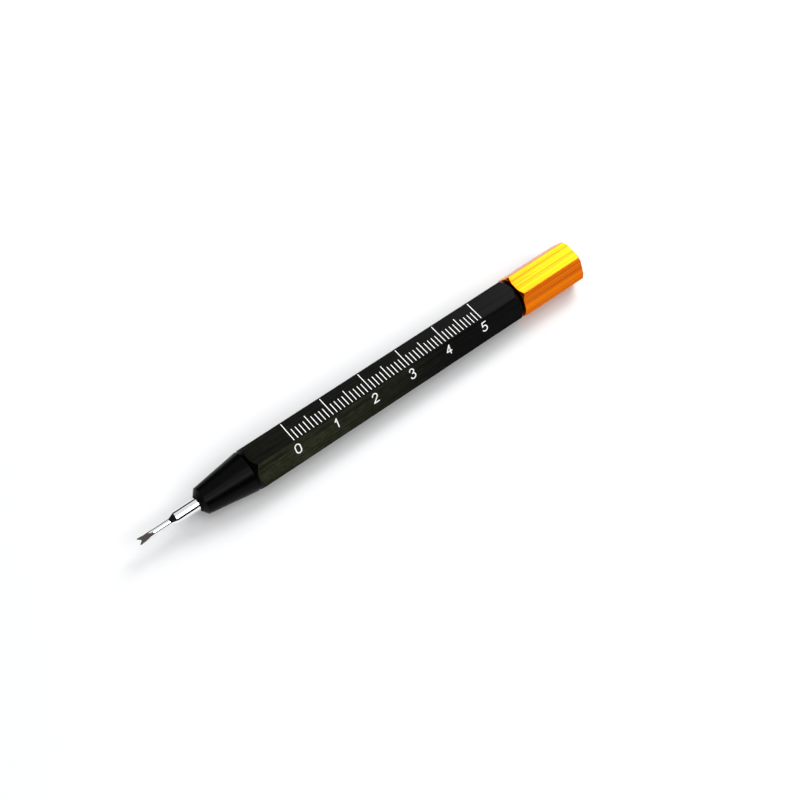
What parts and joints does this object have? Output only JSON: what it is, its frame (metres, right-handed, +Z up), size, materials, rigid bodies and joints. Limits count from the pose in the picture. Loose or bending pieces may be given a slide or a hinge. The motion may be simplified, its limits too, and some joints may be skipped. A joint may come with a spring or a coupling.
{
  "type": "spring bar tool",
  "caption": "Pen-shaped watch-strap spring bar tool: hexagonal barrel with a ruler scale, conical nose holding a forked bit in a collet, and a screw cap over stored spare bits.",
  "frame": {"origin": "under the middle of the tool, on the surface it lies on", "axes": "+X along the tool from the forked tip to the cap, +Z up through the flat with the scale, +Y away from the flat with the digits"},
  "size_m": [0.115, 0.0108, 0.0098],
  "materials": {
    "black_aluminium": "black anodised, finely brushed along its length",
    "black_nose": "black anodised, satin, turned",
    "gold_aluminium": "gold anodised, brushed along its length",
    "rubber_seal": "matt black",
    "brass_collet": "turned",
    "chromed_steel": "bright shank, dark ground blade",
    "white_paint": "matt white paint in engraving"
  },
  "bodies": {
    "barrel": {"barrel": "black_aluminium", "scale_marks_cm": "white_paint", "scale_marks_half_cm": "white_paint", "scale_marks_mm": "white_paint", "scale_digit_0": "white_paint", "scale_digit_1": "white_paint", "scale_digit_2": "white_paint", "scale_digit_3": "white_paint", "scale_digit_4": "white_paint", "scale_digit_5": "white_paint"},
    "seal": {"cap_o_ring": "rubber_seal"},
    "cap": {"cap": "gold_aluminium"},
    "collet": {"collet": "brass_collet"},
    "nose": {"nose_cone": "black_nose"},
    "bit": {"bit": "chromed_steel"},
    "spare_fork_bit": {"spare_fork_bit": "chromed_steel"},
    "spare_fine_fork_bit": {"spare_fine_fork_bit": "chromed_steel"},
    "spare_pin_bit": {"spare_pin_bit": "chromed_steel"}
  },
  "joints": [
    {"name": "cap_travel", "type": "slide", "parent": "barrel", "child": "seal", "axis": [1, 0, 0], "range_m": [0, 0.0045]},
    {"name": "cap_turn", "type": "hinge", "parent": "seal", "child": "cap", "pos_m": [0.0575, 0, 0.00488], "axis": [1, 0, 0], "range_deg": [0, 2161]},
    {"name": "collet_travel", "type": "slide", "parent": "barrel", "child": "collet", "axis": [-1, 0, 0], "range_m": [0, 0.0045]},
    {"name": "nose_turn", "type": "hinge", "parent": "collet", "child": "nose", "pos_m": [-0.0315, 0, 0.00488], "axis": [-1, 0, 0], "range_deg": [0, 2161]},
    {"name": "bit_pull", "type": "slide", "parent": "collet", "child": "bit", "axis": [-1, 0, 0], "range_m": [-0.01, 0.022]},
    {"name": "spare_fork_bit_slide", "type": "slide", "parent": "barrel", "child": "spare_fork_bit", "axis": [1, 0, 0], "range_m": [0, 0.0028]},
    {"name": "spare_fine_fork_bit_slide", "type": "slide", "parent": "barrel", "child": "spare_fine_fork_bit", "axis": [1, 0, 0], "range_m": [0, 0.0028]},
    {"name": "spare_pin_bit_slide", "type": "slide", "parent": "barrel", "child": "spare_pin_bit", "axis": [1, 0, 0], "range_m": [0, 0.0028]}
  ],
  "couplings": [
    {"joint": "cap_turn", "follows": "cap_travel", "rad_per_m": 8377.6},
    {"joint": "nose_turn", "follows": "collet_travel", "rad_per_m": 8377.6}
  ]
}
